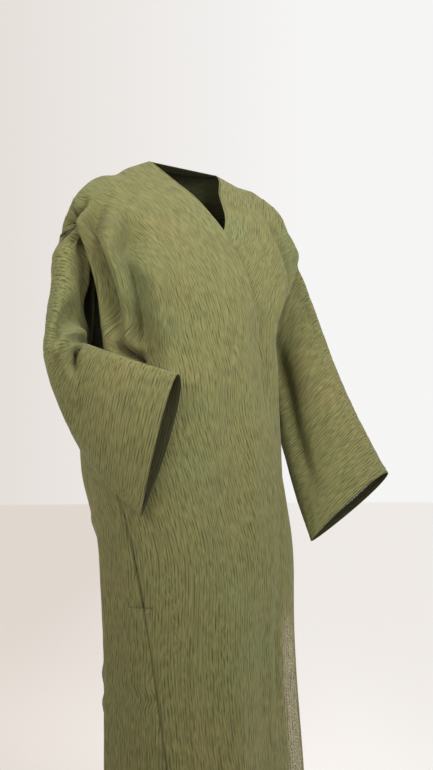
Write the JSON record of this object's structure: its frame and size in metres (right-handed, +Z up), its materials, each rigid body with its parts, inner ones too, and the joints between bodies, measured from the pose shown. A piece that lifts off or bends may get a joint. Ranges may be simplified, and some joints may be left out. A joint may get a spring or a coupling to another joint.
{
  "type": "abaya",
  "caption": "Hollow wrap-front abaya in its worn shape, with wide sleeves, a V neck and a straight floor-length skirt, sewn from thin crinkled cloth.",
  "frame": {"origin": "midway between the two points where the neck meets the shoulders, where the wearer holds it up", "axes": "+Z up, -Y towards the front of the garment, -X towards its right side"},
  "size_m": [0.7277, 0.3121, 1.4176],
  "materials": {
    "cloth": "matte olive-green crinkled cloth, slightly sheer"
  },
  "bodies": {
    "root": {"back": "cloth", "right_front": "cloth", "left_front": "cloth", "right_sleeve": "cloth", "left_sleeve": "cloth"}
  },
  "joints": []
}
